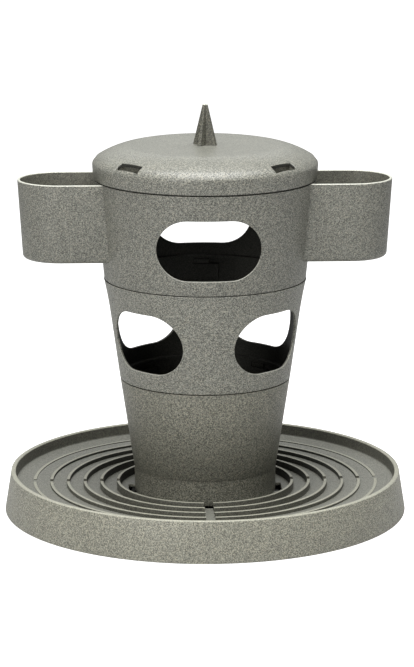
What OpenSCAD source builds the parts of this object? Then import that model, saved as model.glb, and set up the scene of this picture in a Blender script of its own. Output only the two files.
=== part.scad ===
// Free-standing poultry feeder: a ribbed tray, a tower of three stacked sections with
// pecking windows, two side pockets, a domed lid and a food spike on the lid.
// Millimetres, +Z up. The origin is the middle of the tray's resting ring, the front is -Y
// and the pockets stand out along X. Azimuths are counted from the front towards +X.

/* [Tray] */
// Outer radius where the tray stands on the ground
tray_foot_r = 190; // [150:1:220]
// Outer radius of the rim's top edge
tray_top_r = 183.8; // [146:0.1:218]
// Height of the rim above the ground
tray_h = 38; // [32:0.5:55]
// Width of the flat land on top of the rim
rim_land = 4.2; // [2:0.1:5]
// Thickness of the rim where the floor meets it
rim_foot_t = 6; // [3:0.1:8]
// Height of the floor where it meets the rim
floor_edge_z = 27.2; // [26:0.1:30]
// Fall of the floor towards the tower, as a slope
floor_fall = 0.0863; // [0.05:0.001:0.1]
// Thickness of the floor and the skirt
tray_wall = 2.5; // [2:0.1:4]
// Number of ribs
rib_count = 6; // [2:1:8]
// Outer radius of the innermost rib
rib_first_r = 84; // [80:0.5:88]
// Distance from the outermost rib to the rim
rib_edge_gap = 16.5; // [8:0.25:40]
// Thickness of a rib
rib_w = 3; // [2:0.1:5]
// Height of the ribs' level tops above the ground
rib_top_z = 26.3; // [25.5:0.1:28]
// Width of the four gaps that run through all the ribs
rib_gap_w = 8.4; // [4:0.1:20]

/* [Foot lock] */
// Width of each hole in the tray that a foot hook drops through
hook_hole_w = 28; // [26:0.5:32]
// Distance from the axis to the outer edge of those holes
hook_hole_out = 72.5; // [72:0.1:75]
// Distance from the axis to the inner edge of those holes
hook_hole_in = 58; // [54:0.5:60]
// Rounding of the holes' corners
hook_hole_round = 2; // [0.5:0.1:4]
// Width of a hook's stem
hook_stem_w = 8; // [6:0.1:9]
// Reach of a hook's toe beside its stem
hook_toe = 14; // [8:0.5:15]
// Height of a hook's toe
hook_toe_h = 4; // [3:0.1:6]
// Distance from the axis to the outer face of a toe
hook_out = 70; // [68:0.1:70.5]

/* [Tower] */
// Thickness of the tower's walls
wall = 2.5; // [2:0.1:3]
// Outer radius of the straight foot
foot_r = 66.9; // [66:0.1:69]
// Height of the straight foot
foot_h = 24.3; // [10:0.1:60]
// Outer radius just above the foot, where the cone starts
lower_start_r = 67.3; // [67:0.1:70]
// Height of the lower section
lower_h = 110; // [80:0.1:150]
// Outer radius at the top of the lower section
lower_top_r = 80; // [78:0.1:86]
// Height of the middle section
middle_h = 95.2; // [91:0.1:130]
// How far the middle section's bottom stands out beyond the lower section's top
middle_step = 0.2; // [0:0.1:1]
// Outer radius at the top of the middle section
middle_top_r = 95.1; // [92:0.1:100]
// Height of the band below the top where the middle section flares
flare_h = 36; // [20:1:60]
// How much further out the flare takes the top than a straight cone would
flare_out = 1.5; // [0:0.1:3]
// Height of the upper section
upper_h = 94; // [91:0.1:130]
// How far the upper section's bottom stands back behind the middle section's top
upper_step = 0.5; // [0:0.1:1]
// Outer radius at the top of the upper section
upper_top_r = 103.8; // [100:0.1:110]

/* [Windows] */
// Width of the front and back windows of the upper section
upper_window_w = 95.5; // [60:0.5:110]
// Height of those windows
upper_window_h = 56.2; // [40:0.1:60]
// Height of their sills above the section's bottom
upper_window_sill = 13.9; // [8:0.1:25]
// Width of the four windows of the middle section
middle_window_w = 83.4; // [58:0.1:90]
// Height of those windows
middle_window_h = 56.5; // [40:0.1:57]
// Height of their sills above the section's bottom
middle_window_sill = 16.4; // [10:0.1:20]

/* [Twist locks] */
// Turn that frees each section from the one below, in degrees
twist = 16; // [12:0.5:17]
// Width of a locking lug
lug_w = 14.5; // [8:0.1:16]
// Height of a locking lug
lug_h = 4.3; // [3:0.1:6]
// Distance from the seam down to a lug's top
lug_drop = 1.2; // [0.8:0.1:3]
// Height of the ring that reaches down into the section below
spigot_h = 20; // [14:0.5:22]
// Thickness of that ring
spigot_t = 2.2; // [1.5:0.1:3]
// Height of the ledge where the ring joins the wall
ledge_h = 1.8; // [1:0.1:4]
// Clearance round a ring and its lugs
fit = 0.4; // [0.3:0.05:0.6]
// Clearance between a piece and what it sits on
seat_gap = 0.3; // [0.2:0.05:0.5]
// Height of the shadow groove at each seam
groove_h = 0.8; // [0.5:0.1:1.5]
// Depth of the shadow groove
groove_d = 1.2; // [0.5:0.1:1.5]

/* [Side pockets] */
// How far a pocket's outer end stands out from the tower's top
pocket_out = 70.8; // [45:0.1:100]
// Front-to-back size of a pocket at its rim
pocket_d = 80; // [60:0.5:100]
// Height of a pocket
pocket_h = 74.1; // [40:0.1:80]
// Distance from the lid's seam down to a pocket's rim
pocket_drop = 0.7; // [0.5:0.1:10]
// How far the outer end leans in from rim to bottom
pocket_end_lean = 4.6; // [0:0.1:10]
// How far the front and back lean in from rim to bottom
pocket_side_lean = 4.6; // [0:0.1:6]
// Thickness of a pocket's wall and bottom
pocket_wall = 2.6; // [2:0.1:4]
// Rounding of the bottom edge
pocket_round = 4.5; // [3:0.1:8]

/* [Lid] */
// How far the lid stands out beyond the tower's top
lid_over = 1.2; // [1.2:0.1:6]
// Height of the lid's upright skirt
lid_skirt_h = 12.5; // [6:0.1:20]
// How far the skirt leans in towards its lower edge
lid_lean = 0.7; // [0:0.1:1.2]
// Width of the shoulder round the flat crown
shoulder_w = 34; // [15:0.5:45]
// Fall of the shoulder where it leaves the crown, in degrees
shoulder_a0 = 8.6; // [2:0.1:12]
// Radius of the shoulder's curve
shoulder_r = 79; // [60:0.5:120]
// Radius of the corner between shoulder and skirt
lid_corner_r = 7.7; // [3.5:0.1:10]
// Thickness of the lid's wall
lid_wall = 2.5; // [2:0.1:3]
// Width of each of the four slots in the shoulder
slot_w = 28; // [12:0.5:40]
// Radial width of the slots
slot_d = 7.9; // [4:0.1:10]
// Distance from the slots to the skirt's outer face
slot_edge = 2.4; // [2.4:0.1:8]
// Thickness of the locating ring under the lid
lid_ring_t = 2.4; // [1.5:0.1:4]
// How far the ring and its lugs reach down into the tower
lid_ring_reach = 9; // [6:0.5:20]
// Height of the locating lugs under the slots
lid_lug_h = 5; // [3:0.1:6]
// Turn of the lid on the tower as it sits, in degrees
lid_turn = -1.3; // [-20:0.1:20]

/* [Spike] */
// Height of the spike above the crown
spike_h = 37.9; // [20:0.1:60]
// Reach of a fin at the spike's base
spike_base_r = 11.8; // [9:0.1:16]
// Reach of a fin at the blunt tip
spike_tip_r = 2.3; // [1:0.1:4]
// Thickness of a fin at its base
fin_t = 4; // [2:0.1:5]
// Thickness of a fin at its tip
fin_tip_t = 2; // [1:0.1:2]
// Radius of the round stem that plugs into the lid
stem_r = 5; // [3:0.1:7]
// Length of the stem below the crown
stem_len = 19; // [10:0.5:21]
// Radial clearance of the stem in its bore
stem_fit = 0.08; // [0.03:0.01:0.1]
// Thickness of the boss round the bore
boss_t = 3.5; // [2:0.1:6]
// Length of the boss below the crown
boss_len = 17; // [10:0.5:19]
// Turn of the fins against the diagonals, in degrees
spike_turn = 13.5; // [0:0.5:45]

/* [Hidden] */
$fn = 96;
hull_fn = 32;
// Paper-thin clearance where a pocket sits on the round wall
pocket_seat = 0.08;
// Overlap that keeps cuts clean and joined solids whole
eps = 0.5;
far = 400;
quarter = [0, 90, 180, 270];
diagonal = [45, 135, 225, 315];

// Tray levels
rim_in_top = tray_top_r - rim_land;
rim_in_low = tray_outer(floor_edge_z) - rim_foot_t;
seat_r = hook_hole_out - tray_wall;
seat_z = floor_z(seat_r);
under_z = seat_z - tray_wall;
rib_last_r = rim_in_low - rib_edge_gap;
rib_pitch = (rib_last_r - rib_first_r) / (rib_count - 1);

// Radii of the sections' bottoms
middle_bottom_r = lower_top_r + middle_step;
upper_bottom_r = middle_top_r - upper_step;

// Heights of the foot, the two seams between sections and the lid's seam
foot_z = seat_z + seat_gap;
crease_z = foot_z + foot_h;
seam1_z = foot_z + lower_h;
seam2_z = seam1_z + middle_h;
seam3_z = seam2_z + upper_h;
flare_z = seam2_z - flare_h;
middle_slope = (middle_top_r - flare_out - middle_bottom_r) / middle_h;
flare_steps = 6;

// Hooks: at rest a stem stands at the hole's far side, after the twist at its near side
hook_in = foot_r - wall - 2.5;
hook_rest_az = -twist / 2;
hook_root = 2;

// Pocket levels
pocket_rim_z = seam3_z - pocket_drop;
pocket_z = pocket_rim_z - pocket_h;
pocket_reach = upper_top_r + pocket_out;

// Lid: flat crown, then shoulder and corner arcs that meet without a kink
lid_r = upper_top_r + lid_over;
crown_r = lid_r - shoulder_w;
slot_out = lid_r - slot_edge;
slot_in = slot_out - slot_d;
shoulder_a = asin((shoulder_w + shoulder_r * sin(shoulder_a0) - lid_corner_r)
                  / (shoulder_r - lid_corner_r));
corner_z = seam3_z + lid_skirt_h;
shoulder_low_z = corner_z + lid_corner_r * cos(shoulder_a);
crown_z = shoulder_low_z + shoulder_r * (cos(shoulder_a0) - cos(shoulder_a));
lid_ring_z = seam3_z - lid_ring_reach;
lid_lug_out = upper_outer(lid_ring_z) - wall - fit;
arc_steps = 8;

function tray_outer(z) = lerp(tray_foot_r, tray_top_r, z / tray_h);
function floor_z(r) = floor_edge_z - floor_fall * (rim_in_low - r);
function lerp(a, b, t) = a + (b - a) * t;
function lower_outer(z) = lerp(lower_start_r, lower_top_r, (z - crease_z) / (seam1_z - crease_z));
function middle_outer(z) = middle_bottom_r + middle_slope * (z - seam1_z)
    + (z > flare_z ? flare_out * pow((z - flare_z) / flare_h, 2) : 0);
function upper_outer(z) = lerp(upper_bottom_r, upper_top_r, (z - seam2_z) / upper_h);
function arc(centre, radius, a0, a1, steps) =
    [for (i = [0 : steps]) let (a = lerp(a0, a1, i / steps))
        centre + radius * [sin(a), cos(a)]];

// Plain helpers

// Turns what points to the front to an azimuth
module at_az(a) { rotate([0, 0, a]) children(); }

// Box that points to the front, from radius r0 to r1
module front_box(w, r0, r1, z0, z1) {
    translate([-w / 2, -r1, z0]) cube([w, r1 - r0, z1 - z0]);
}

// Upright rectangle with round corners, centred
module round_rect(w, h, r) {
    square([w - 2 * r, h], center = true);
    square([w, h - 2 * r], center = true);
    for (x = [-1, 1], y = [-1, 1])
        translate([x * (w / 2 - r), y * (h / 2 - r)]) circle(r);
}

// Cutter for a window with round ends, from the axis out to the front
module window_cutter(w, h, sill_z) {
    translate([0, 0, sill_z + h / 2]) rotate([90, 0, 0]) linear_extrude(far) {
        square([w - h, h], center = true);
        for (x = [-1, 1]) translate([x * (w - h) / 2, 0]) circle(d = h);
    }
}

// Top end of a section's wall: shadow groove outside, seat inside
function rim_points(r, z) = [
    [r, z - groove_h], [r - groove_d, z - groove_h],
    [r - groove_d, z - seat_gap], [r - wall, z - seat_gap]];

// Ring that reaches into the section below, whose inner radii at both ends are given
function spigot_points(inner_low, inner_top, z) = [
    [inner_top - fit - spigot_t, z + ledge_h],
    [inner_top - fit - spigot_t, z],
    [inner_low - fit - spigot_t, z - spigot_h],
    [inner_low - fit, z - spigot_h],
    [inner_top - fit, z]];

// Lugs on the inside of a wall of inner radius r, just under the seam
module lugs(r, seam_z, azimuths) {
    top = seam_z - lug_drop;
    intersection() {
        difference() {
            translate([0, 0, top - lug_h]) cylinder(r = r + wall / 2, h = lug_h);
            translate([0, 0, top - lug_h - eps])
                cylinder(r = r - fit - spigot_t, h = lug_h + 2 * eps);
        }
        union() for (a = azimuths) at_az(a)
            front_box(lug_w, r / 2, r + wall, top - lug_h - eps, top + eps);
    }
}

// Slots in a ring that let the lugs in and hold them after the twist
module lug_slots(r, seam_z, azimuths) {
    play = 2 * fit;
    reach = asin((lug_w / 2 + fit) / (r - fit - spigot_t));
    run_w = 2 * (r - fit - spigot_t) * sin(reach + twist / 2);
    low = seam_z - lug_drop - lug_h - fit;
    for (a = azimuths) {
        at_az(a - twist / 2)
            front_box(run_w, r / 2, r + wall, low, seam_z - lug_drop + fit);
        at_az(a - twist)
            front_box(lug_w + 2 * play, r / 2, r + wall, seam_z - spigot_h - eps, low + eps);
    }
}

// Tray: rim, skirt, falling floor and ribs in one moulding
module tray() {
    color([0.47, 0.47, 0.43]) difference() {
        union() {
            rotate_extrude() polygon([
                [0, seat_z], [seat_r, seat_z], [rim_in_low, floor_edge_z],
                [rim_in_top, tray_h], [tray_top_r, tray_h], [tray_foot_r, 0],
                [tray_foot_r - tray_wall, 0],
                [tray_outer(floor_edge_z - tray_wall) - tray_wall, floor_edge_z - tray_wall],
                [seat_r, under_z], [0, under_z]]);
            tray_ribs();
        }
        for (a = quarter) at_az(a)
            translate([0, -(hook_hole_in + hook_hole_out) / 2, under_z - eps])
                linear_extrude(tray_wall + 4 * eps)
                    round_rect(hook_hole_w, hook_hole_out - hook_hole_in, hook_hole_round);
    }
}

module tray_ribs() {
    difference() {
        rotate_extrude() for (k = [0 : rib_count - 1])
            let (r = rib_first_r + k * rib_pitch, root_z = floor_z(r - rib_w) - eps)
                translate([r - rib_w, root_z]) square([rib_w, rib_top_z - root_z]);
        for (a = quarter) at_az(a)
            front_box(rib_gap_w, rib_first_r - 2 * rib_w, rib_last_r + rib_w,
                      under_z, rib_top_z + eps);
    }
}

// Lower section: straight foot with four hooks, then a cone with lugs inside its top
module lower_section() {
    color([0.41, 0.41, 0.37]) union() {
        rotate_extrude() polygon(concat(
            [[foot_r - wall, foot_z], [foot_r, foot_z], [foot_r, crease_z],
             [lower_start_r, crease_z]],
            rim_points(lower_outer(seam1_z), seam1_z),
            [[lower_start_r - wall, crease_z]]));
        lugs(lower_outer(seam1_z - lug_drop - lug_h) - wall, seam1_z, diagonal);
        for (a = quarter) at_az(a + hook_rest_az) foot_hook();
    }
}

// Hook that drops through the tray and slides its toe under the floor
module foot_hook() {
    toe_top = under_z - seat_gap;
    front_box(hook_stem_w, hook_in, foot_r - eps, toe_top - hook_toe_h, foot_z + hook_root);
    translate([-hook_toe / 2, 0, 0])
        front_box(hook_stem_w + hook_toe, hook_in, hook_out, toe_top - hook_toe_h, toe_top);
}

// Middle section: four windows on the diagonals, flared top with lugs at the quarters
module middle_section() {
    ring_top = lower_outer(seam1_z) - wall;
    ring_low = lower_outer(seam1_z - spigot_h) - wall;
    flare = [for (i = [0 : flare_steps]) lerp(flare_z, seam2_z - groove_h, i / flare_steps)];
    color([0.45, 0.45, 0.41]) difference() {
        union() {
            rotate_extrude() polygon(concat(
                [[middle_outer(seam1_z), seam1_z]],
                [for (z = flare) [middle_outer(z), z]],
                [[middle_outer(seam2_z) - groove_d, seam2_z - groove_h],
                 [middle_outer(seam2_z) - groove_d, seam2_z - seat_gap],
                 [middle_outer(seam2_z) - wall, seam2_z - seat_gap]],
                [for (i = [flare_steps : -1 : 0]) [middle_outer(flare[i]) - wall, flare[i]]],
                [[middle_outer(seam1_z + ledge_h) - wall, seam1_z + ledge_h]],
                spigot_points(ring_low, ring_top, seam1_z)));
            lugs(middle_outer(seam2_z - lug_drop - lug_h) - wall, seam2_z, quarter);
        }
        for (a = diagonal) at_az(a)
            window_cutter(middle_window_w, middle_window_h, seam1_z + middle_window_sill);
        lug_slots(ring_top, seam1_z, diagonal);
    }
}

// Upper section: front and back windows, plain top that the lid sits on
module upper_section() {
    ring_top = middle_outer(seam2_z) - wall;
    ring_low = middle_outer(seam2_z - spigot_h) - wall;
    color([0.49, 0.49, 0.45]) difference() {
        rotate_extrude() polygon(concat(
            [[upper_outer(seam2_z), seam2_z]],
            rim_points(upper_outer(seam3_z), seam3_z),
            [[upper_outer(seam2_z + ledge_h) - wall, seam2_z + ledge_h]],
            spigot_points(ring_low, ring_top, seam2_z)));
        for (a = [0, 180]) at_az(a)
            window_cutter(upper_window_w, upper_window_h, seam2_z + upper_window_sill);
        lug_slots(ring_top, seam2_z, quarter);
    }
}

// Solid with a round outer end that leans in all round towards its bottom.
// inset shrinks it evenly for the inside, and floor lifts its bottom.
module pocket_body(inset, floor, top) {
    rim_r = pocket_d / 2 - inset;
    low_r = rim_r - pocket_side_lean;
    rim_x = pocket_reach - pocket_d / 2;
    low_x = rim_x - pocket_end_lean + pocket_side_lean;
    edge = max(pocket_round - inset, eps);
    hull() {
        translate([0, 0, top]) {
            translate([rim_x, 0, -eps]) cylinder(r = rim_r, h = eps, $fn = 2 * hull_fn);
            translate([0, -rim_r, -eps]) cube([eps, 2 * rim_r, eps]);
        }
        translate([0, 0, pocket_z + floor]) {
            translate([low_x, 0, 0]) cylinder(r = low_r - edge, h = eps, $fn = 2 * hull_fn);
            translate([low_x, 0, edge]) cylinder(r = low_r, h = eps, $fn = 2 * hull_fn);
            translate([low_x, 0, edge * 0.29])
                cylinder(r = low_r - edge * 0.29, h = eps, $fn = 2 * hull_fn);
            translate([0, -low_r, edge]) cube([eps, 2 * low_r, eps]);
            translate([0, -low_r + edge * 0.29, edge * 0.29])
                cube([eps, 2 * (low_r - edge * 0.29), eps]);
            translate([0, -low_r + edge, 0]) cube([eps, 2 * (low_r - edge), eps]);
        }
    }
}

// Side pocket on +X, cut to sit face to face on the upper section's wall
module pocket() {
    difference() {
        pocket_body(0, 0, pocket_rim_z);
        pocket_body(pocket_wall, pocket_wall, pocket_rim_z + 2 * eps);
        rotate_extrude($fn = 288) polygon([
            [0, seam2_z], [upper_outer(seam2_z) + pocket_seat, seam2_z],
            [upper_outer(seam3_z) + pocket_seat, seam3_z], [0, seam3_z]]);
    }
}

module right_pocket() { color([0.47, 0.47, 0.43]) pocket(); }

module left_pocket() { color([0.47, 0.47, 0.43]) mirror([1, 0, 0]) pocket(); }

// Outline of the lid's curves from the axis to the skirt, moved in by a wall
function lid_curve(inset) = concat(
    [[0, crown_z - inset]],
    arc([crown_r - shoulder_r * sin(shoulder_a0), crown_z - shoulder_r * cos(shoulder_a0)],
        shoulder_r - inset, shoulder_a0, shoulder_a, arc_steps),
    arc([lid_r - lid_corner_r, corner_z], lid_corner_r - inset, shoulder_a, 90, arc_steps));

function reversed(points) = [for (i = [len(points) - 1 : -1 : 0]) points[i]];

// Lid: domed shell, locating ring with four lugs, boss for the spike, four slots
module lid() {
    lug_w_under = slot_w - 2;
    color([0.60, 0.60, 0.56]) rotate([0, 0, lid_turn]) difference() {
        union() {
            rotate_extrude() polygon(concat(
                lid_curve(0),
                [[lid_r - lid_lean, seam3_z], [lid_r - lid_lean - lid_wall, seam3_z]],
                reversed(lid_curve(lid_wall))));
            lid_ring();
            for (a = diagonal) at_az(a)
                front_box(lug_w_under, slot_in - lid_ring_t / 2, lid_lug_out - eps,
                          lid_ring_z, lid_ring_z + lid_lug_h);
            translate([0, 0, crown_z - boss_len])
                cylinder(r = stem_r + stem_fit + boss_t, h = boss_len - lid_wall / 2);
        }
        translate([0, 0, crown_z - boss_len - eps])
            cylinder(r = stem_r + stem_fit, h = boss_len + 2 * eps);
        for (a = diagonal) at_az(a) lid_slot();
    }
}

// Ring under the dome, trimmed to the dome's inner face
module lid_ring() {
    rotate_extrude() intersection() {
        translate([slot_in - lid_ring_t, lid_ring_z])
            square([lid_ring_t, crown_z - lid_ring_z]);
        polygon(concat(lid_curve(lid_wall / 2), [[lid_r - lid_wall / 2, lid_ring_z], [0, lid_ring_z]]));
    }
}

// Slot with radial sides, open from the lugs' tops up through the shoulder
module lid_slot() {
    half_in = slot_w / 2 * slot_in / slot_out;
    translate([0, 0, lid_ring_z + lid_lug_h])
        linear_extrude(far) polygon([
            [-half_in, -slot_in], [-slot_w / 2, -slot_out],
            [slot_w / 2, -slot_out], [half_in, -slot_in]]);
}

// Spike: four tapered fins on a round stem
module spike() {
    base_z = crown_z + seat_gap;
    color([0.40, 0.39, 0.33]) rotate([0, 0, 45 + spike_turn]) union() {
        for (a = [0, 90]) rotate([0, 0, a]) intersection() {
            rotate([90, 0, 0]) linear_extrude(4 * fin_t, center = true) polygon([
                [-spike_base_r, base_z], [spike_base_r, base_z],
                [spike_tip_r, crown_z + spike_h], [-spike_tip_r, crown_z + spike_h]]);
            rotate([90, 0, 90]) linear_extrude(4 * spike_base_r, center = true) polygon([
                [-fin_t / 2, base_z], [fin_t / 2, base_z],
                [fin_tip_t / 2, crown_z + spike_h], [-fin_tip_t / 2, crown_z + spike_h]]);
        }
        translate([0, 0, crown_z - stem_len]) cylinder(r = stem_r, h = stem_len + seat_gap + eps);
    }
}

tray();
lower_section();
middle_section();
upper_section();
left_pocket();
right_pocket();
lid();
spike();
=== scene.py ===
# %% [markdown]
# # A poultry feeder in speckled plastic
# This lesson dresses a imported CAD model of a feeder: a ribbed tray, a tower of three
# sections that twist together, two side pockets, a lid and a spike for whole food.
# The CAD model gives every size and place. What it lacks is what a mould leaves on a
# real part: small round edges on everything, and a plastic full of specks. Each piece
# is made again here with those, in the same place, and rides on the same CAD body.

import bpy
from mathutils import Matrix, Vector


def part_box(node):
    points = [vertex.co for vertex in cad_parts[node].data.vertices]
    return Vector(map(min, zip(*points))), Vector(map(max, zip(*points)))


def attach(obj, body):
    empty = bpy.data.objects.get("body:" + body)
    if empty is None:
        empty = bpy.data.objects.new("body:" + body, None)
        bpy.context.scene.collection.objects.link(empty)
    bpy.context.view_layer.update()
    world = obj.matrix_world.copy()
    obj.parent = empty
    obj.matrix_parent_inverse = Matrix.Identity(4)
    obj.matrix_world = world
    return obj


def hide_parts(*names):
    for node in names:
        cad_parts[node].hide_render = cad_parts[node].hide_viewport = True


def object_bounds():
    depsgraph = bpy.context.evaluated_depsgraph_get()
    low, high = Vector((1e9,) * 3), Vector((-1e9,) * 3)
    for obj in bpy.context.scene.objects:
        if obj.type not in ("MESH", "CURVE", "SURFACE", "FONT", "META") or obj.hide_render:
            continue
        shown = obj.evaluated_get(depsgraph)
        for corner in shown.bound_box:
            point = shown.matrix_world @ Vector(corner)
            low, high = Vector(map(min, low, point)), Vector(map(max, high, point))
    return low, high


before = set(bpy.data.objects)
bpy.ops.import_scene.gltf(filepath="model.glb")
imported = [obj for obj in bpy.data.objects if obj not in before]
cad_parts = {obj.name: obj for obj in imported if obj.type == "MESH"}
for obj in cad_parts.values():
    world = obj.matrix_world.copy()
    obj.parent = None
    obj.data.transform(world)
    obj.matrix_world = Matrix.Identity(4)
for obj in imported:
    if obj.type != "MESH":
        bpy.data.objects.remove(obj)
cad_low, cad_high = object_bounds()
print("CAD box:", [round(side, 4) for side in cad_high - cad_low])

# %% Modules and small helpers
import math

import bmesh
import bpy
from mathutils import Vector
from mathutils.geometry import delaunay_2d_cdt

MM = 0.001
scene = bpy.context.scene


def in_scene(name, data):
    """A new object with its data, linked to the scene."""
    made = bpy.data.objects.new(name, data)
    scene.collection.objects.link(made)
    return made


def facing(direction):
    """The rotation that turns a camera or lamp to look along a direction."""
    return direction.to_track_quat("-Z", "Y").to_euler()


def circle(radius, sides):
    """Points of a circle in plan, from the front towards +X."""
    return [(radius * math.sin(2 * math.pi * k / sides), -radius * math.cos(2 * math.pi * k / sides))
            for k in range(sides)]


# %% [markdown]
# ## The camera
# The photograph was taken 12.7 degrees above the horizon, with the feeder's front
# turned 2.3 degrees. Both were worked out from the round rims and from the near and
# far window sills. The camera aims at a point on the axis, and a small shift puts
# the picture's middle where the photograph has it.

# %% Place the camera
PICTURE_W, PICTURE_H = 414, 667
FOCAL_PX, CENTRE_PX = 2933.49, 205.116
SENSOR = 36.0
CAMERA_RISE, CAMERA_TURN = math.radians(12.71), math.radians(2.3)
CAMERA_REACH = 2.76054
AIM = Vector((0, 0, 0.16791))

camera_data = bpy.data.cameras.new("camera")
camera_data.sensor_width = SENSOR
camera_data.sensor_fit = "AUTO"
camera_data.lens = FOCAL_PX * SENSOR / PICTURE_H
camera_data.shift_x = (PICTURE_W / 2 - CENTRE_PX) / PICTURE_H
camera_data.clip_start, camera_data.clip_end = 0.1, 20
camera = in_scene("camera", camera_data)
away = Vector((-math.sin(CAMERA_TURN) * math.cos(CAMERA_RISE),
               -math.cos(CAMERA_TURN) * math.cos(CAMERA_RISE), math.sin(CAMERA_RISE)))
camera.location = AIM + CAMERA_REACH * away
camera.rotation_euler = facing(-away)
scene.camera = camera
scene.view_settings.view_transform = "Standard"
print("camera at", [round(c, 3) for c in camera.location])

# %% [markdown]
# ## Node trees in a few words
# A material is a graph of nodes. A few small helpers keep such a graph readable: one
# adds a node with its settings, and the others are short names for nodes used often.

# %% Helpers for node trees
def add_node(tree, kind, values=None, **settings):
    """Adds a node, sets its properties, and then its inputs by name or number."""
    node = tree.nodes.new(kind)
    for key, value in settings.items():
        setattr(node, key, value)
    for key, value in (values or {}).items():
        if isinstance(value, bpy.types.NodeSocket):
            tree.links.new(value, node.inputs[key])
        else:
            node.inputs[key].default_value = value
    return node


def maths(tree, operation, *values):
    """The result of a Math node."""
    return add_node(tree, "ShaderNodeMath", dict(enumerate(values)), operation=operation).outputs[0]


def level(tree, value, low, high, to_low=0.0, to_high=1.0):
    """Maps a value from one range to another, clamped."""
    return add_node(tree, "ShaderNodeMapRange",
                    {"Value": value, "From Min": low, "From Max": high,
                     "To Min": to_low, "To Max": to_high}).outputs[0]


def height_of(tree, vector):
    """The Z part of a vector."""
    return add_node(tree, "ShaderNodeSeparateXYZ", {0: vector}).outputs[2]


def fresh_material(name):
    """A material with an empty tree; returns both."""
    material = bpy.data.materials.new(name)
    material.use_nodes = True
    material.node_tree.nodes.clear()
    return material, material.node_tree


# %% [markdown]
# ## The studio
# The photograph has a pure white background and soft light from above. The world
# shows white to the camera and a grey to reflections, and lights the object only a
# little. The floor glows for the camera in the same way, a touch less than white near
# the feeder and white further out, and it still takes the feeder's shadow. The disc
# that the tray covers doesn't glow, so the hook holes look dark.

# %% World
WORLD_LIGHT, GLOSS_LIGHT, SEEN_LIGHT = 0.05, 0.30, 1.0
WHITE, SKY_WHITE = (1, 1, 1, 1), (0.93, 0.97, 1.0, 1)

world = bpy.data.worlds.new("studio")
world.use_nodes = True
scene.world = world
sky = world.node_tree
sky.nodes.clear()
path = add_node(sky, "ShaderNodeLightPath")
light, mirrored, seen = [
    add_node(sky, "ShaderNodeBackground", {"Color": colour, "Strength": strength}).outputs[0]
    for colour, strength in ((SKY_WHITE, WORLD_LIGHT), (WHITE, GLOSS_LIGHT), (WHITE, SEEN_LIGHT))]
for ray, shown in (("Is Glossy Ray", mirrored), ("Is Camera Ray", seen)):
    light = add_node(sky, "ShaderNodeMixShader",
                     {0: path.outputs[ray], 1: light, 2: shown}).outputs[0]
add_node(sky, "ShaderNodeOutputWorld", {"Surface": light})
print("world strengths: light", WORLD_LIGHT, "gloss", GLOSS_LIGHT, "seen", SEEN_LIGHT)

# %% Floor
FLOOR_R, FLOOR_DROP, FLOOR_SIDES = 6.0, 0.0003, 96
FLOOR_WHITE, FLOOR_GLOSS = 0.93, 0.20
FADE_FROM, FADE_TO = 0.8, 2.0
# The disc under the tray is a darker grey than the rest of the floor, as painted shade.
FLOOR_PAINT, UNDER_TRAY_SHADE = 0.6, 0.3
COVERED_R = cad_high.x - 0.004

floor_mesh = bpy.data.meshes.new("floor")
floor_mesh.from_pydata(
    [(x, y, -FLOOR_DROP) for r in (COVERED_R, FLOOR_R) for x, y in circle(r, FLOOR_SIDES)], [],
    [list(range(FLOOR_SIDES))]
    + [(k, k + FLOOR_SIDES, (k + 1) % FLOOR_SIDES + FLOOR_SIDES, (k + 1) % FLOOR_SIDES)
       for k in range(FLOOR_SIDES)])
floor = in_scene("floor", floor_mesh)


def floor_paint(name, grey, glows):
    """Matt paint, with or without a glow that only the camera and reflections see."""
    material, tree = fresh_material(name)
    surface = add_node(tree, "ShaderNodeBsdfDiffuse", {"Color": (grey, grey, grey, 1)}).outputs[0]
    if glows:
        path = add_node(tree, "ShaderNodeLightPath").outputs
        place = add_node(tree, "ShaderNodeTexCoord").outputs["Object"]
        distance = add_node(tree, "ShaderNodeVectorMath", {0: place}, operation="LENGTH")
        fade = level(tree, distance.outputs["Value"], FADE_FROM, FADE_TO, FLOOR_WHITE, 1.0)
        seen = maths(tree, "MULTIPLY", path["Is Camera Ray"], fade)
        strength = maths(tree, "MULTIPLY_ADD", path["Is Glossy Ray"], FLOOR_GLOSS, seen)
        glow = add_node(tree, "ShaderNodeEmission", {"Color": WHITE, "Strength": strength})
        surface = add_node(tree, "ShaderNodeAddShader", {0: surface, 1: glow.outputs[0]}).outputs[0]
    add_node(tree, "ShaderNodeOutputMaterial", {"Surface": surface})
    floor_mesh.materials.append(material)


floor_paint("floor_white", FLOOR_PAINT, True)
# Painted shade: the disc under the tray is darker and doesn't glow.
floor_paint("floor_under_tray", UNDER_TRAY_SHADE, False)
floor_mesh.polygons[0].material_index = 1
print("floor radius", FLOOR_R, "m, covered to", round(COVERED_R, 3), "m")

# %% [markdown]
# ## The lamps
# Four soft lamps light the feeder. Two large ones overhead, the second a little to the
# front, do most of the work: they brighten the lid's shoulder and the tray. One at the
# front left lifts the walls, and a weak one behind rims the lid. The strengths were
# chosen so that their sum has the photograph's tones on the walls, the lid and the tray.

# %% Lamps
LAMP_AIM = Vector((0, 0, 0.2))


def soft_lamp(name, place, size, watts, colour):
    """An area lamp of a width and depth that looks at the feeder."""
    data = bpy.data.lights.new(name, "AREA")
    data.shape = "RECTANGLE"
    data.size, data.size_y = size
    data.energy = watts
    data.color = colour
    lamp = in_scene(name, data)
    lamp.location = place
    lamp.rotation_euler = facing(LAMP_AIM - Vector(place))


soft_lamp("overhead", (0.0, 0.0, 2.0), (1.8, 0.9), 33, (1.0, 1.0, 1.0))
soft_lamp("over_front", (0.0, -0.8, 1.9), (1.6, 0.7), 26, (1.0, 0.99, 0.97))
soft_lamp("behind", (0.0, 2.1, 1.5), (1.4, 1.0), 3, (0.96, 0.98, 1.0))
soft_lamp("front_left", (-1.15, -2.1, 0.8), (0.9, 0.9), 16, (1.0, 0.98, 0.95))
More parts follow.
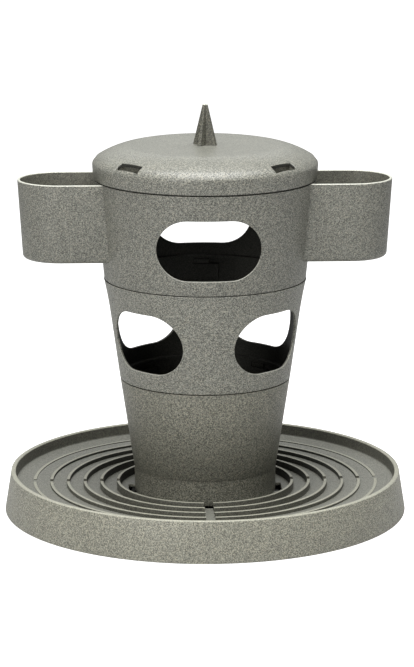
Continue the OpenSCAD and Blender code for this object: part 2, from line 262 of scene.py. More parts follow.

# %% [markdown]
# ## The plastic
# The feeder is moulded from plastic that looks recycled, full of light and dark specks
# about a millimetre wide. A picture of it could be wrapped round each piece, but a
# recipe of nodes on Object coordinates needs no UV map and sits still on the piece.
# Fine noise gives the grain, two Voronoi textures pick single cells for pale and dark
# flecks, and a broad noise keeps large walls from looking even. Specks fade a little
# on faces that look up, as under dust and as a painted sheen. Bump and roughness follow the grain.

# %% Speckled plastic
GRAIN_PER_M, CLOUDS_PER_M = 1150, 26
GRAIN_DARKER, GRAIN_LIGHTER = 0.62, 0.72
PALE_FLECKS = (900, 0.32, (0.013, 0.007, 0.003))
DARK_FLECKS = (820, 0.30, (0.031, 0.019, 0.011))
# The last tone is the colour of the painted shade low on the tower.
PALE_TONE, DARK_TONE, CLOUD_TONE, LOW_SHADE_TONE = 2.0, 0.38, 0.55, 0.25
FLECK_SIZE, FLECK_CORE, FLECK_STRENGTH, PICK_SOFT = 0.60, 0.55, 0.75, 0.03
CLOUD_STRENGTH, DUST_AND_SHEEN, ROUGHNESS_SWING = 0.10, 0.45, 0.06
BUMP, BUMP_DEPTH = 0.22, 0.0004
# Heights of the painted shade low on the tower: the crease over the foot, where the shade fades out
# above it, and the share left on the foot.
CREASE_HEIGHT, LOW_SHADE_TOP, FOOT_SHADE = 0.0423, 0.108, 0.1


def scaled(colour, factor):
    """An opaque colour made lighter or darker."""
    return (*[min(1.0, channel * factor) for channel in colour], 1)


def tint(tree, amount, under, over):
    """Lays one colour over another by an amount from 0 to 1."""
    return add_node(tree, "ShaderNodeMix", {0: amount, 6: under, 7: over},
                    data_type="RGBA").outputs[2]


def flecks(tree, place, per_metre, share, shift):
    """A mask with a random share of Voronoi cells, each a small spot."""
    moved = add_node(tree, "ShaderNodeMapping", {"Vector": place, "Location": shift})
    cells = add_node(tree, "ShaderNodeTexVoronoi",
                     {"Vector": moved.outputs[0], "Scale": per_metre, "Randomness": 1.0})
    pick = add_node(tree, "ShaderNodeSeparateColor", {0: cells.outputs["Color"]})
    chosen = level(tree, pick.outputs[0], 1 - share - PICK_SOFT, 1 - share + PICK_SOFT)
    spot = level(tree, cells.outputs["Distance"], FLECK_SIZE, FLECK_SIZE * FLECK_CORE)
    return maths(tree, "MULTIPLY", chosen, spot)


def noise(tree, place, per_metre, roughness):
    """Soft noise of a fineness."""
    return add_node(tree, "ShaderNodeTexNoise", {"Vector": place, "Scale": per_metre, "Detail": 3.0,
                                                 "Roughness": roughness}).outputs[0]


def low_shade_mask(tree, place, strength):
    """Painted shade low on the tower, darkest just above the crease over its foot and faint on the
    foot.
    """
    height = height_of(tree, place)
    above = level(tree, height, LOW_SHADE_TOP, CREASE_HEIGHT, 0.0, strength)
    below = level(tree, height, CREASE_HEIGHT - 0.003, CREASE_HEIGHT, FOOT_SHADE, 1.0)
    return maths(tree, "MULTIPLY", above, below)


def speckled_plastic(name, grey, tone, contrast=1.0, roughness=0.46, gloss=0.5, low_shade=0.0):
    """The feeder's plastic: a batch's grey, made lighter or darker by a tone."""
    colour = scaled(grey, tone)[:3]
    material, tree = fresh_material(f"speckled_{name}")
    coordinates = add_node(tree, "ShaderNodeTexCoord").outputs
    place = coordinates["Object"]
    grain = noise(tree, place, GRAIN_PER_M, 0.7)
    clouds = noise(tree, place, CLOUDS_PER_M, 0.5)
    pale, dark = flecks(tree, place, *PALE_FLECKS), flecks(tree, place, *DARK_FLECKS)
    pale_colour = scaled((colour[0] * 1.06, colour[1], colour[2] * 0.94), PALE_TONE)
    body = tint(tree, level(tree, grain, 0.38, 0.62), scaled(colour, 1 - GRAIN_DARKER * contrast),
                scaled(colour, 1 + GRAIN_LIGHTER * contrast))
    strength = FLECK_STRENGTH * contrast
    body = tint(tree, level(tree, pale, 0, 1, 0, strength), body, pale_colour)
    body = tint(tree, level(tree, dark, 0, 1, 0, strength), body, scaled(colour, DARK_TONE))
    body = tint(tree, level(tree, clouds, 0.3, 0.7, 0.0, CLOUD_STRENGTH), body,
                scaled(colour, CLOUD_TONE))
    # Specks fade on faces that look up: dust, and a painted sheen.
    upward = height_of(tree, coordinates["Normal"])
    body = tint(tree, level(tree, upward, 0.80, 1.0, 0.0, DUST_AND_SHEEN), body, scaled(colour, 1.0))
    # Painted shade: the colour darkens low on the tower, most just above the crease over its foot.
    if low_shade:
        body = tint(tree, low_shade_mask(tree, place, low_shade), body, scaled(colour, LOW_SHADE_TONE))
    shine = level(tree, grain, 0.3, 0.7, roughness + ROUGHNESS_SWING, roughness - ROUGHNESS_SWING)
    relief = add_node(tree, "ShaderNodeBump", {"Strength": BUMP, "Distance": BUMP_DEPTH,
                                               "Height": maths(tree, "ADD", grain, pale)})
    shader = add_node(tree, "ShaderNodeBsdfPrincipled",
                      {"Base Color": body, "Roughness": shine, "Normal": relief.outputs[0],
                       "IOR": 1.5, "Specular IOR Level": gloss})
    add_node(tree, "ShaderNodeOutputMaterial", {"Surface": shader.outputs[0]})
    return material


# %% [markdown]
# ## One recipe, many batches
# The tray and the foot are warmer than the upper mouldings, and each moulding has its
# own tone and contrast. Some places get a finish of their own that paints light and shade:
# lips, rib tops, window sills and the spike's tip are lighter and smoother as painted
# highlights; the tray's floor, the ribs, the rim's inner side, the pockets' insides and the
# parts under the lid are darker as painted shade; and the inside of the tower and the lid,
# the grooves at the tower's seams and the hooks seen through the tray are darkest, also painted
# shade.

# %% Finishes
WARM_GREY = (0.215, 0.215, 0.178)
COOL_GREY = (0.212, 0.215, 0.188)

# Each row: grey, tone, contrast, roughness, gloss, and the strength of painted shade low on the
# tower
# Lighter finishes below, for lips, rib tops, sills and the spike's tip, are painted highlights;
# darker ones, for the tray's floor, ribs, the pockets' insides, insides and grooves, are painted
# shade.
RECIPES = {
    "tray": (WARM_GREY, 1.25, 1.05),
    "tray_floor": (COOL_GREY, 1.08, 0.9),
    "tray_land": (WARM_GREY, 2.1, 0.5, 0.36),
    "rib": (WARM_GREY, 0.50, 0.8),
    "rib_top": (WARM_GREY, 1.9, 0.5, 0.4),
    # The lower section's last number is the strength of its painted shade low on the cone.
    "lower": (WARM_GREY, 0.95, 1.3, 0.46, 0.5, 0.34),
    "middle": (COOL_GREY, 1.12, 1.2),
    "upper": (COOL_GREY, 0.97, 1.2),
    "edge": (COOL_GREY, 2.3, 0.4, 0.36),
    "pocket": (COOL_GREY, 0.97, 1.05),
    "pocket_land": (COOL_GREY, 3.0, 0.4, 0.36),
    "lid": (COOL_GREY, 1.04, 1.2, 0.33),
    "spike": (WARM_GREY, 0.55, 1.3),
    "recess": (WARM_GREY, 0.62, 0.8),
    "inside": (COOL_GREY, 0.22, 0.5, 0.5, 0.15),
    "deep": (COOL_GREY, 0.07, 0.4, 0.6, 0.1),
}
plastic = {name: speckled_plastic(name, *recipe) for name, recipe in RECIPES.items()}
print("finishes:", sorted(plastic))

# %% [markdown]
# ## Walls that are turned, with holes cut cleanly
# Nearly every piece is a turned shell: a closed profile of radii and heights, swept
# round the axis. The corners of each profile are real arcs, because a moulded edge
# catches light there. Windows and slots could be cut with booleans, but those leave
# thin faces that spoil a smooth wall and leave no room for a round edge. So a wall
# with holes is laid out flat, filled with even triangles round its holes, and rolled
# into place. Rings of points then turn each hole's edge over with a small radius.

# %% Turned shells
TURN = 180
EDGE_STEPS = 3
CORNER_SHARE = 0.48


def mm(x, y, z):
    """A point given in millimetres."""
    return Vector((x, y, z)) * MM


def around(azimuth, radius, height):
    """A point from degrees counted from the front towards +X, and millimetres."""
    a = math.radians(azimuth)
    return mm(radius * math.sin(a), -radius * math.cos(a), height)


def turned(x, y, a):
    """A point in plan, turned round the axis by an angle in radians."""
    return x * math.cos(a) - y * math.sin(a), x * math.sin(a) + y * math.cos(a)


def rounded(corners, steps=EDGE_STEPS):
    """Points of an outline whose corners are given as (radius, height, rounding)."""
    points = []
    for i, (r, z, rounding) in enumerate(corners):
        here = Vector((r, z))
        if not rounding:
            points.append((r, z))
            continue
        before = Vector(corners[i - 1][:2]) - here
        after = Vector(corners[(i + 1) % len(corners)][:2]) - here
        half = before.angle(after) / 2
        reach = min(rounding / math.tan(half), CORNER_SHARE * before.length,
                    CORNER_SHARE * after.length)
        size = reach * math.tan(half)
        before.normalize()
        after.normalize()
        centre = here + (before + after).normalized() * size / math.sin(half)
        start, end = here + before * reach - centre, here + after * reach - centre
        a0 = math.atan2(start.y, start.x)
        sweep = (math.atan2(end.y, end.x) - a0 + math.pi) % (2 * math.pi) - math.pi
        for k in range(steps + 1):
            a = a0 + sweep * k / steps
            points.append((centre.x + size * math.cos(a), centre.y + size * math.sin(a)))
    return points


def join_rings(bm, one, two):
    """Faces between two closed rings; a ring of one vertex is a pole."""
    count = max(len(one), len(two))
    for k in range(count):
        n = (k + 1) % count
        corners = [one[k % len(one)], one[n % len(one)], two[n % len(two)], two[k % len(two)]]
        bm.faces.new(list(dict.fromkeys(corners)))


def join_all(bm, rings):
    """Faces between each ring and the next."""
    for one, two in zip(rings, rings[1:]):
        join_rings(bm, one, two)


def join_strips(bm, rows):
    """Faces between each open row of vertices and the next."""
    for one, two in zip(rows, rows[1:]):
        for k in range(len(one) - 1):
            bm.faces.new((one[k], one[k + 1], two[k + 1], two[k]))


def lathe(bm, profile, closed=False):
    """Turns a profile round the axis."""
    if closed:
        profile = [*profile, profile[0]]
    join_all(bm, [[bm.verts.new(around(360 * k / TURN, r, z)) for k in range(TURN if r else 1)]
                  for r, z in profile])


# %% Outlines and filled patches
SAME_PLACE = 1e-3


def soft_outline(corners, rounding, grow=0.0, arc_steps=4, edge_steps=8):
    """A convex outline with round corners, moved outwards by grow; corners run anticlockwise."""
    count = len(corners)
    sides = [(Vector(corners[(i + 1) % count]) - Vector(corners[i])).normalized()
             for i in range(count)]
    outs = [Vector((side.y, -side.x)) for side in sides]
    radius = rounding + grow
    arcs = []
    for i, corner in enumerate(corners):
        one, two = outs[i - 1], outs[i]
        spread = (one + two) / (1 + one.dot(two))
        centre = Vector(corner) - spread * rounding
        a0 = math.atan2(one.y, one.x)
        sweep = (math.atan2(two.y, two.x) - a0) % (2 * math.pi)
        arcs.append([centre + radius * Vector((math.cos(a0 + sweep * k / arc_steps),
                                               math.sin(a0 + sweep * k / arc_steps)))
                     for k in range(arc_steps + 1)])
    points = []
    for arc, following in zip(arcs, arcs[1:] + arcs[:1]):
        straight = [arc[-1].lerp(following[0], k / edge_steps) for k in range(1, edge_steps)]
        for point in arc + straight:
            if not points or (point - points[-1]).length > SAME_PLACE:
                points.append(point)
    if (points[0] - points[-1]).length < SAME_PLACE:
        points.pop()
    return [(p.x, p.y) for p in points]


def within(outline, x, y):
    """Whether a point lies inside a convex outline."""
    return all((b[0] - a[0]) * (y - a[1]) > (b[1] - a[1]) * (x - a[0])
               for a, b in zip(outline, outline[1:] + outline[:1]))


def patch(bm, place, border, holes, inside):
    """Fills a flat border with triangles, leaves the holes open, and places each point."""
    points, edges, owner = [], [], []
    for number, loop in enumerate([border, *holes]):
        first = len(points)
        points += loop
        owner += [number] * len(loop)
        edges += [(first + k, first + (k + 1) % len(loop)) for k in range(len(loop))]
    points += inside
    owner += [0] * len(inside)
    filled = delaunay_2d_cdt([Vector(p) for p in points], edges, [], 0, 1e-5)
    came_from = [sources[0] for sources in filled[3]]
    verts = [bm.verts.new(place(*points[source])) for source in came_from]
    for face in filled[2]:
        owners = {owner[came_from[k]] for k in face}
        if owners == {0} or len(owners) > 1:
            bm.faces.new([verts[k] for k in face])


# %% Walls with windows
WINDOW_EDGE = 0.8
CLEAR_OF_HOLE = 2.0


class Window:
    """An opening with round ends, cut straight through a wall."""

    def __init__(self, azimuth, width, height, sill):
        self.turn = math.radians(azimuth)
        self.width, self.height, self.middle = width, height, sill + height / 2

    def outline(self, grow=0.0):
        """Points as (distance from the window's middle line, height)."""
        w, h = self.width / 2, self.height / 2
        corners = [(-w, -h), (w, -h), (w, h), (-w, h)]
        flat = soft_outline(corners, h, grow, arc_steps=14, edge_steps=12)
        return [(x, z + self.middle) for x, z in flat]


def windowed_wall(bm, radius_at, low, high, first_azimuth, windows):
    """The skin of a round wall between two heights, with its windows left open."""
    mean = radius_at((low + high) / 2)
    rows = round((high - low) / (2 * math.pi * mean / TURN))
    keep_out = [(w, w.outline(WINDOW_EDGE + CLEAR_OF_HOLE)) for w in windows]

    def spot(column, row):
        return (math.radians(first_azimuth + 360 * column / TURN) * mean,
                low + (high - low) * row / rows)

    def free(u, z):
        for w, outline in keep_out:
            turn = u / mean - w.turn
            x = radius_at(z) * math.sin(turn)
            if math.cos(turn) > 0 and abs(x) < w.width and within(outline, x, z):
                return False
        return True

    border = ([spot(c, 0) for c in range(TURN)] + [spot(TURN, r) for r in range(rows)]
              + [spot(c, rows) for c in range(TURN, 0, -1)]
              + [spot(0, r) for r in range(rows, 0, -1)])
    holes = [[((w.turn + math.asin(x / radius_at(z))) * mean, z) for x, z in w.outline(WINDOW_EDGE)]
             for w in windows]
    inside = [spot(column, row) for column in range(1, TURN) for row in range(1, rows)]
    patch(bm, lambda u, z: around(math.degrees(u / mean), radius_at(z), z), border, holes,
          [point for point in inside if free(*point)])


def quarter_turn(edge):
    """Pairs of (how far outside the hole, how deep) along a round edge, from the surface in."""
    angles = [math.pi / 2 * k / EDGE_STEPS for k in range(EDGE_STEPS + 1)]
    return [(edge * (1 - math.sin(a)), edge * (1 - math.cos(a))) for a in angles]


def window_reveal(bm, window, outer_at, inner_at):
    """The cut face of a window with both its edges rounded."""
    def ring(grow, radius_at, shift):
        points = []
        for x, z in window.outline(grow):
            y = math.sqrt(radius_at(z) ** 2 - x * x) + shift
            points.append(mm(*turned(x, -y, window.turn), z))
        return [bm.verts.new(point) for point in points]

    steps = quarter_turn(WINDOW_EDGE)
    join_all(bm, [ring(grow, outer_at, -deep) for grow, deep in steps]
             + [ring(grow, inner_at, deep) for grow, deep in reversed(steps)])


# %% Flat plates with slots
def turned_outline(outline, azimuth):
    """A plan outline drawn at the front, turned to an azimuth."""
    return [turned(x, y, math.radians(azimuth)) for x, y in outline]


def slotted_plate(bm, height_at, inner, outer, slots, keep_out):
    """A turned plate seen from above, between two radii, with its slots left open."""
    rows = max(2, round((outer - inner) / (math.pi * (outer + inner) / TURN)))
    rings = [circle(inner + (outer - inner) * k / rows, TURN) for k in range(rows + 1)]
    inside = [(x, y) for ring in rings[1:-1] for x, y in ring
              if not any(within(outline, x, y) for outline in keep_out)]
    patch(bm, lambda x, y: mm(x, y, height_at(math.hypot(x, y))), rings[-1],
          [rings[0], *slots], inside)


def plan_ring(bm, outline, height_at, lower=0.0):
    """A ring of vertices on a plan outline, on or a little below a surface."""
    return [bm.verts.new(mm(x, y, height_at(math.hypot(x, y)) - lower)) for x, y in outline]


def slot_edges(bm, slots_at, edge, top_at, under_at, under_slots):
    """The cut faces of a plate's slots, with the upper edges rounded."""
    for number, under in enumerate(under_slots):
        rings = [plan_ring(bm, slots_at(grow)[number], top_at, deep)
                 for grow, deep in quarter_turn(edge)]
        join_all(bm, [*rings, plan_ring(bm, under, under_at)])


# %% [markdown]
# ## Finishing a piece
# Every piece ends in the same way: its seams are merged, its faces turned outwards and
# shaded smooth up to a sharp angle, and it is told which body carries it, while the CAD
# node it stands for, if any, is hidden. Parts of a moulding have their own finish, so paint()
# gives another material to the faces that a test on their middle and normal picks.

# %% Finish and paint a piece
SMOOTH_ANGLE = math.radians(32)
MERGE = 0.004 * MM


def mesh_from(bm, name):
    """Closes the seams of a bmesh, turns its faces outwards and makes it a mesh."""
    bmesh.ops.remove_doubles(bm, verts=bm.verts, dist=MERGE)
    bmesh.ops.recalc_face_normals(bm, faces=bm.faces)
    mesh = bpy.data.meshes.new(name)
    bm.to_mesh(mesh)
    bm.free()
    return mesh


def finish_piece(name, mesh, body, finish=None, node=None):
    """Makes a mesh a piece of the feeder: shading, finish and body, and hides the CAD node it stands
    for.
    """
    mesh.shade_smooth()
    mesh.set_sharp_from_angle(angle=SMOOTH_ANGLE)
    if finish and not mesh.materials:
        mesh.materials.append(plastic[finish])
    made = in_scene(name, mesh)
    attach(made, body)
    if node:
        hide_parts(node)
    check = bmesh.new()
    check.from_mesh(mesh)
    loose = sum(not edge.is_manifold for edge in check.edges)
    print(f"{name}: {len(mesh.polygons)} faces, {loose} open edges, "
          f"{check.calc_volume(signed=True) * 1e6:.1f} cm3")
    check.free()
    return made


def paint(piece, finish, chosen):
    """Gives another finish to the faces that a test on middle (mm) and normal picks."""
    material = plastic[finish]
    if material.name not in piece.data.materials:
        piece.data.materials.append(material)
    faces = [f for f in piece.data.polygons if chosen(f.center / MM, f.normal)]
    for face in faces:
        face.material_index = piece.data.materials.find(material.name)
    print(f"{piece.name}: {len(faces)} faces in {material.name}")


def faces_axis(middle, normal):
    """A test for faces that look at the axis, such as a wall's inner side."""
    return normal.x * middle.x + normal.y * middle.y < -0.5 * math.hypot(middle.x, middle.y)


# %% [markdown]
# ## A node tree that sets copies round the axis
# Lugs and hooks come in fours, evenly round the tower. One Geometry Nodes tree does
# that for all of them: it takes a mesh made at the front, a count and the azimuth of
# the first copy, and ends in real geometry with a material, because the export keeps
# no instances.

# %% Helpers for geometry trees
def named_tree(name, inputs, output):
    """A tree with named inputs; returns it and the inputs as seen from inside."""
    tree = bpy.data.node_groups.new(name, "GeometryNodeTree")
    for label, kind in inputs.items():
        tree.interface.new_socket(label, in_out="INPUT", socket_type=f"NodeSocket{kind}")
    tree.interface.new_socket(output, in_out="OUTPUT", socket_type="NodeSocketGeometry")
    return tree, add_node(tree, "NodeGroupInput").outputs


def real_copies(tree, geometry):
    """Turns instances into real geometry."""
    return add_node(tree, "GeometryNodeRealizeInstances", {0: geometry}).outputs[0]


def end_tree(tree, geometry, material):
    """Makes what is left real, gives it its material and ends the tree."""
    painted = add_node(tree, "GeometryNodeSetMaterial",
                       {"Geometry": real_copies(tree, geometry), "Material": material})
    add_node(tree, "NodeGroupOutput", {0: painted.outputs[0]})
    return tree


def modified(mesh, kind, set_up):
    """The plain mesh that one modifier makes of a mesh."""
    holder = in_scene("holder", mesh)
    modifier = holder.modifiers.new("change", kind)
    set_up(modifier)
    result = bpy.data.meshes.new_from_object(
        holder.evaluated_get(bpy.context.evaluated_depsgraph_get()))
    holder.modifiers.remove(modifier)
    bpy.data.objects.remove(holder)
    return result


def grown(mesh, tree, values):
    """Runs a mesh through a node tree with named inputs and returns the result."""
    def set_up(modifier):
        modifier.node_group = tree
        for item in tree.interface.items_tree:
            if item.in_out == "INPUT" and item.name in values:
                modifier[item.identifier] = values[item.name]
    return modified(mesh, "NODES", set_up)


# %% Ring of copies
def ring_tree():
    """Geometry Nodes: copies of a mesh, evenly round the Z axis."""
    tree, given = named_tree("ring_of_copies", {
        "Part": "Geometry", "Copies": "Int", "First turn": "Float", "Material": "Material"}, "Ring")
    spots = add_node(tree, "GeometryNodeMeshLine", {"Count": given["Copies"], "Offset": (0, 0, 0)})
    index = add_node(tree, "GeometryNodeInputIndex").outputs[0]
    share = maths(tree, "DIVIDE", index, given["Copies"])
    turn = maths(tree, "MULTIPLY_ADD", share, 2 * math.pi, given["First turn"])
    rotation = add_node(tree, "ShaderNodeCombineXYZ", {"Z": turn})
    copies = add_node(tree, "GeometryNodeInstanceOnPoints",
                      {"Points": spots.outputs[0], "Instance": given["Part"],
                       "Rotation": rotation.outputs[0]})
    return end_tree(tree, copies.outputs[0], given["Material"])


ring_of_copies = ring_tree()


def four_copies(name, shape, first_azimuth, **more):
    """A mesh with four copies of what shape draws at the front."""
    bm = bmesh.new()
    shape(bm)
    return grown(mesh_from(bm, name), ring_of_copies,
                 {"Copies": 4, "First turn": math.radians(first_azimuth), **more})


def piece_in_fours(name, shape, first_azimuth, body, finish):
    """A piece that is four copies of a shape."""
    mesh = four_copies(name, shape, first_azimuth, Material=plastic[finish])
    return finish_piece(name, mesh, body)


def block(bm, width, near, far, low, high, rounding=0.5):
    """A block at the front, between two distances from the axis, with rounded edges."""
    made = bmesh.ops.create_cube(bm, size=1.0)["verts"]
    for v in made:
        v.co = mm(v.co.x * width, -(near + far) / 2 + v.co.y * (far - near),
                  (low + high) / 2 + v.co.z * (high - low))
    edges = list(dict.fromkeys(edge for v in made for edge in v.link_edges))
    bmesh.ops.bevel(bm, geom=edges, offset=rounding * MM, segments=2, affect="EDGES",
                    profile=0.5)

# %% [markdown]
# ## Sizes from the frame
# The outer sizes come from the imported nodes' boxes, so they can't drift from the CAD.
# Walls, seats and clearances that a box doesn't show are named here in millimetres.

# %% Sizes
SEAT_GAP = 0.3
WALL = 2.5
FOOT_Z, CREASE_RISE = 18.045, 24.3
QUARTERS = (0, 90, 180, 270)
DIAGONALS = (45, 135, 225, 315)


def far_corner(node):
    """The highest corner of a node's box, in millimetres."""
    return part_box(node)[1] / MM


tray_foot_r, tray_top_z = far_corner("tray").x, far_corner("tray").z
crease_z = FOOT_Z + CREASE_RISE
tops = [far_corner(f"{name}_section") for name in ("lower", "middle", "upper")]
lower_top_r, middle_top_r, upper_top_r = [top.x for top in tops]
seam1_z, seam2_z, seam3_z = [top.z + SEAT_GAP for top in tops]
print("seams at", [round(z, 2) for z in (seam1_z, seam2_z, seam3_z)], "mm")

# %% [markdown]
# ## The tray
# The tray is one round moulding: a leaning skirt that it stands on, a flat land on
# top of the rim, and a floor that falls to the middle, where the tower's hooks drop
# through four holes. It is turned from its profile, and the plate with the holes is
# filled flat and lifted to the floor's height.

# %% Tray shell
TRAY_TOP_R, RIM_LAND, RIM_FOOT_R = 183.8, 4.2, 179.56
FLOOR_EDGE_Z, FLOOR_FALL, FLOOR_FLAT_R = 27.2, 0.0863, 70.0
CENTRE_R, PLATE_R = 20.0, 80.0
HOOK_HOLE = [(-14, -72.5), (14, -72.5), (14, -58), (-14, -58)]
HOLE_ROUND, HOLE_EDGE = 2.0, 0.5
LAND_DEPTH, FLOOR_RISE = 0.8, 0.5


def floor_at(radius):
    """Height of the tray's floor."""
    return FLOOR_EDGE_Z - FLOOR_FALL * (RIM_FOOT_R - max(radius, FLOOR_FLAT_R))


def tray_outer(height):
    """Outer radius of the tray's leaning skirt."""
    return tray_foot_r + (TRAY_TOP_R - tray_foot_r) * height / tray_top_z


def under_floor_at(radius):
    """Height of the floor's underside."""
    low, high = floor_at(0) - WALL, FLOOR_EDGE_Z - WALL
    corner = tray_outer(high) - WALL
    return low + (high - low) * max(radius - FLOOR_FLAT_R, 0) / (corner - FLOOR_FLAT_R)


def hook_holes(grow):
    """The four hook holes' outlines in plan."""
    return [turned_outline(soft_outline(HOOK_HOLE, HOLE_ROUND, grow), a) for a in QUARTERS]


def tray_shell():
    bm = bmesh.new()
    shoulder_z = FLOOR_EDGE_Z - WALL
    lathe(bm, rounded([
        (PLATE_R, floor_at(PLATE_R), 0), (RIM_FOOT_R, FLOOR_EDGE_Z, 1.6),
        (TRAY_TOP_R - RIM_LAND, tray_top_z, 0.9), (TRAY_TOP_R, tray_top_z, 0.9),
        (tray_foot_r, 0, 0.7), (tray_foot_r - WALL, 0, 0.7),
        (tray_outer(shoulder_z) - WALL, shoulder_z, 1.6),
        (PLATE_R, under_floor_at(PLATE_R), 0)]))
    for height_at, grow in ((floor_at, HOLE_EDGE), (under_floor_at, 0)):
        slotted_plate(bm, height_at, CENTRE_R, PLATE_R, hook_holes(grow), hook_holes(CLEAR_OF_HOLE))
        join_rings(bm, plan_ring(bm, circle(CENTRE_R, TURN), height_at),
                   plan_ring(bm, [(0, 0)], height_at))
    slot_edges(bm, hook_holes, HOLE_EDGE, floor_at, under_floor_at, hook_holes(0))
    return mesh_from(bm, "tray_shell")


tray = finish_piece("tray_shell", tray_shell(), "tray", "tray", "tray")
# Painted shade: the rim's inner wall takes the darker rib finish.
paint(tray, "rib", lambda spot, normal: faces_axis(spot, normal) and spot.z > FLOOR_EDGE_Z)
# Painted highlight: the land on top of the rim is much lighter.
paint(tray, "tray_land", lambda spot, normal: spot.z > tray_top_z - LAND_DEPTH)
# Painted shade: the floor between the ribs is darker and cooler than the tray's walls.
paint(tray, "tray_floor",
      lambda spot, normal: normal.z > 0.8 and spot.z < FLOOR_EDGE_Z + FLOOR_RISE)

# %% [markdown]
# ## The ribs
# Six ribs stand on the tray's floor, with level tops, and four gaps run through all of
# them. They follow one rule: rib by rib the radius grows by the same pitch, and each
# quarter is an arc between two gaps. That is work for Geometry Nodes. A flat grid is
# copied 24 times, each copy learns its rib and its quarter from its number, and Set
# Position wraps it into a closed bar: one grid direction follows the arc, and the
# other runs round the bar's section, a rectangle with soft corners. The first and
# last columns shrink to a point, which closes the bar's ends.

# %% Rib tree
RIB_COUNT, RIB_OUTER_R, RIB_EDGE_GAP = 6, 84.0, 16.5
RIB_W, RIB_TOP_Z, RIB_GAP = 3.0, 26.3, 8.4
RIB_ROOT, RIB_CORNER = 0.7, 0.22
COLUMNS, AROUND = 72, 21
BAR_MERGE = 1e-6
rib_pitch = (RIM_FOOT_R - RIB_EDGE_GAP - RIB_OUTER_R) / (RIB_COUNT - 1)


def rib_tree():
    """Geometry Nodes: ribs in quarter arcs, all lengths in metres."""
    numbers = ("First radius", "Pitch", "Width", "Top height", "Gap", "Floor height",
               "Floor slope", "Root", "Corner")
    tree, given = named_tree("tray_ribs", {"Ribs": "Int", **dict.fromkeys(numbers, "Float"),
                                           "Material": "Material"}, "Bars")

    def calc(operation):
        """A short name for a Math node of this tree."""
        return lambda *values: maths(tree, operation, *values)

    plus, minus, times, over = map(calc, ("ADD", "SUBTRACT", "MULTIPLY", "DIVIDE"))
    times_plus, size_of, sine, cosine = map(calc, ("MULTIPLY_ADD", "ABSOLUTE", "SINE", "COSINE"))

    def side(wave, half):
        """A sine or cosine flattened into the side of a soft rectangle."""
        flat = times(calc("SIGN")(wave), calc("POWER")(size_of(wave), given["Corner"]))
        return times(flat, times(whole, half))

    spots = add_node(tree, "GeometryNodeMeshLine",
                     {"Count": times(given["Ribs"], 4), "Offset": (0, 0, 0)})
    number = add_node(tree, "GeometryNodeInputIndex")
    named = add_node(tree, "GeometryNodeStoreNamedAttribute",
                     {"Geometry": spots.outputs[0], "Name": "bar", "Value": number.outputs[0]})
    sheet = add_node(tree, "GeometryNodeMeshGrid",
                     {"Size X": 1.0, "Size Y": 1.0, "Vertices X": COLUMNS, "Vertices Y": AROUND})
    copies = add_node(tree, "GeometryNodeInstanceOnPoints",
                      {"Points": named.outputs[0], "Instance": sheet.outputs["Mesh"]})

    bar = add_node(tree, "GeometryNodeInputNamedAttribute", {"Name": "bar"},
                   data_type="FLOAT").outputs[0]
    rib = calc("FLOOR")(over(plus(bar, 0.5), 4))
    quarter = minus(bar, times(rib, 4))
    place = add_node(tree, "ShaderNodeSeparateXYZ",
                     {0: add_node(tree, "GeometryNodeInputPosition").outputs[0]}).outputs
    column = times(plus(place[0], 0.5), COLUMNS - 1)
    along = level(tree, column, 1, COLUMNS - 2)
    whole = calc("LESS_THAN")(size_of(place[0]), 0.5 - 0.5 / (COLUMNS - 1))
    round_section = times_plus(place[1], 2 * math.pi, math.pi / 4)

    half_w = times(given["Width"], 0.5)
    middle = minus(times_plus(rib, given["Pitch"], given["First radius"]), half_w)
    root_z = minus(times_plus(minus(middle, half_w), given["Floor slope"], given["Floor height"]),
                   given["Root"])
    half_h = times(minus(given["Top height"], root_z), 0.5)
    radius = plus(middle, side(cosine(round_section), half_w))
    height = plus(plus(root_z, half_h), side(sine(round_section), half_h))
    gap_angle = calc("ARCSINE")(over(times(given["Gap"], 0.5), middle))
    span = minus(math.pi / 2, times(gap_angle, 2))
    azimuth = plus(times_plus(along, span, gap_angle), times(quarter, math.pi / 2))
    point = add_node(tree, "ShaderNodeCombineXYZ",
                     {"X": times(radius, sine(azimuth)),
                      "Y": times(times(radius, -1), cosine(azimuth)), "Z": height})
    wrapped = add_node(tree, "GeometryNodeSetPosition",
                       {"Geometry": real_copies(tree, copies.outputs[0]),
                        "Position": point.outputs[0]})
    closed = add_node(tree, "GeometryNodeMergeByDistance",
                      {"Geometry": wrapped.outputs[0], "Distance": BAR_MERGE})
    return end_tree(tree, closed.outputs[0], given["Material"])


# %% Grow the ribs
# Painted shade: the ribs' own finish is darker than the tray.
rib_mesh = grown(bpy.data.meshes.new("seed"), rib_tree(), {
    "Ribs": RIB_COUNT, "First radius": RIB_OUTER_R * MM, "Pitch": rib_pitch * MM,
    "Width": RIB_W * MM, "Top height": RIB_TOP_Z * MM, "Gap": RIB_GAP * MM,
    "Floor height": (FLOOR_EDGE_Z - FLOOR_FALL * RIM_FOOT_R) * MM, "Floor slope": FLOOR_FALL,
    "Root": RIB_ROOT * MM, "Corner": RIB_CORNER, "Material": plastic["rib"]})
bm = bmesh.new()
bm.from_mesh(rib_mesh)
bmesh.ops.recalc_face_normals(bm, faces=bm.faces)
bm.to_mesh(rib_mesh)
bm.free()
ribs = finish_piece("tray_ribs", rib_mesh, "tray")
# Painted highlight on the rib tops, and painted shade on the faces that look at the axis.
paint(ribs, "rib_top", lambda spot, normal: normal.z > 0.6)
paint(ribs, "inside", faces_axis)
print("rib pitch", round(rib_pitch, 2), "mm")

# %% [markdown]
# ## The lower section
# The tower's lowest section has no window, so its whole profile is turned in one go:
# a straight foot, a small lip where the cone starts, and a stepped top with the shadow
# groove that shows as a dark line at the seam, helped by painted shade on its faces.
# Inside its top sit four lugs for the twist lock, and four hooks under its foot reach through the
# tray.

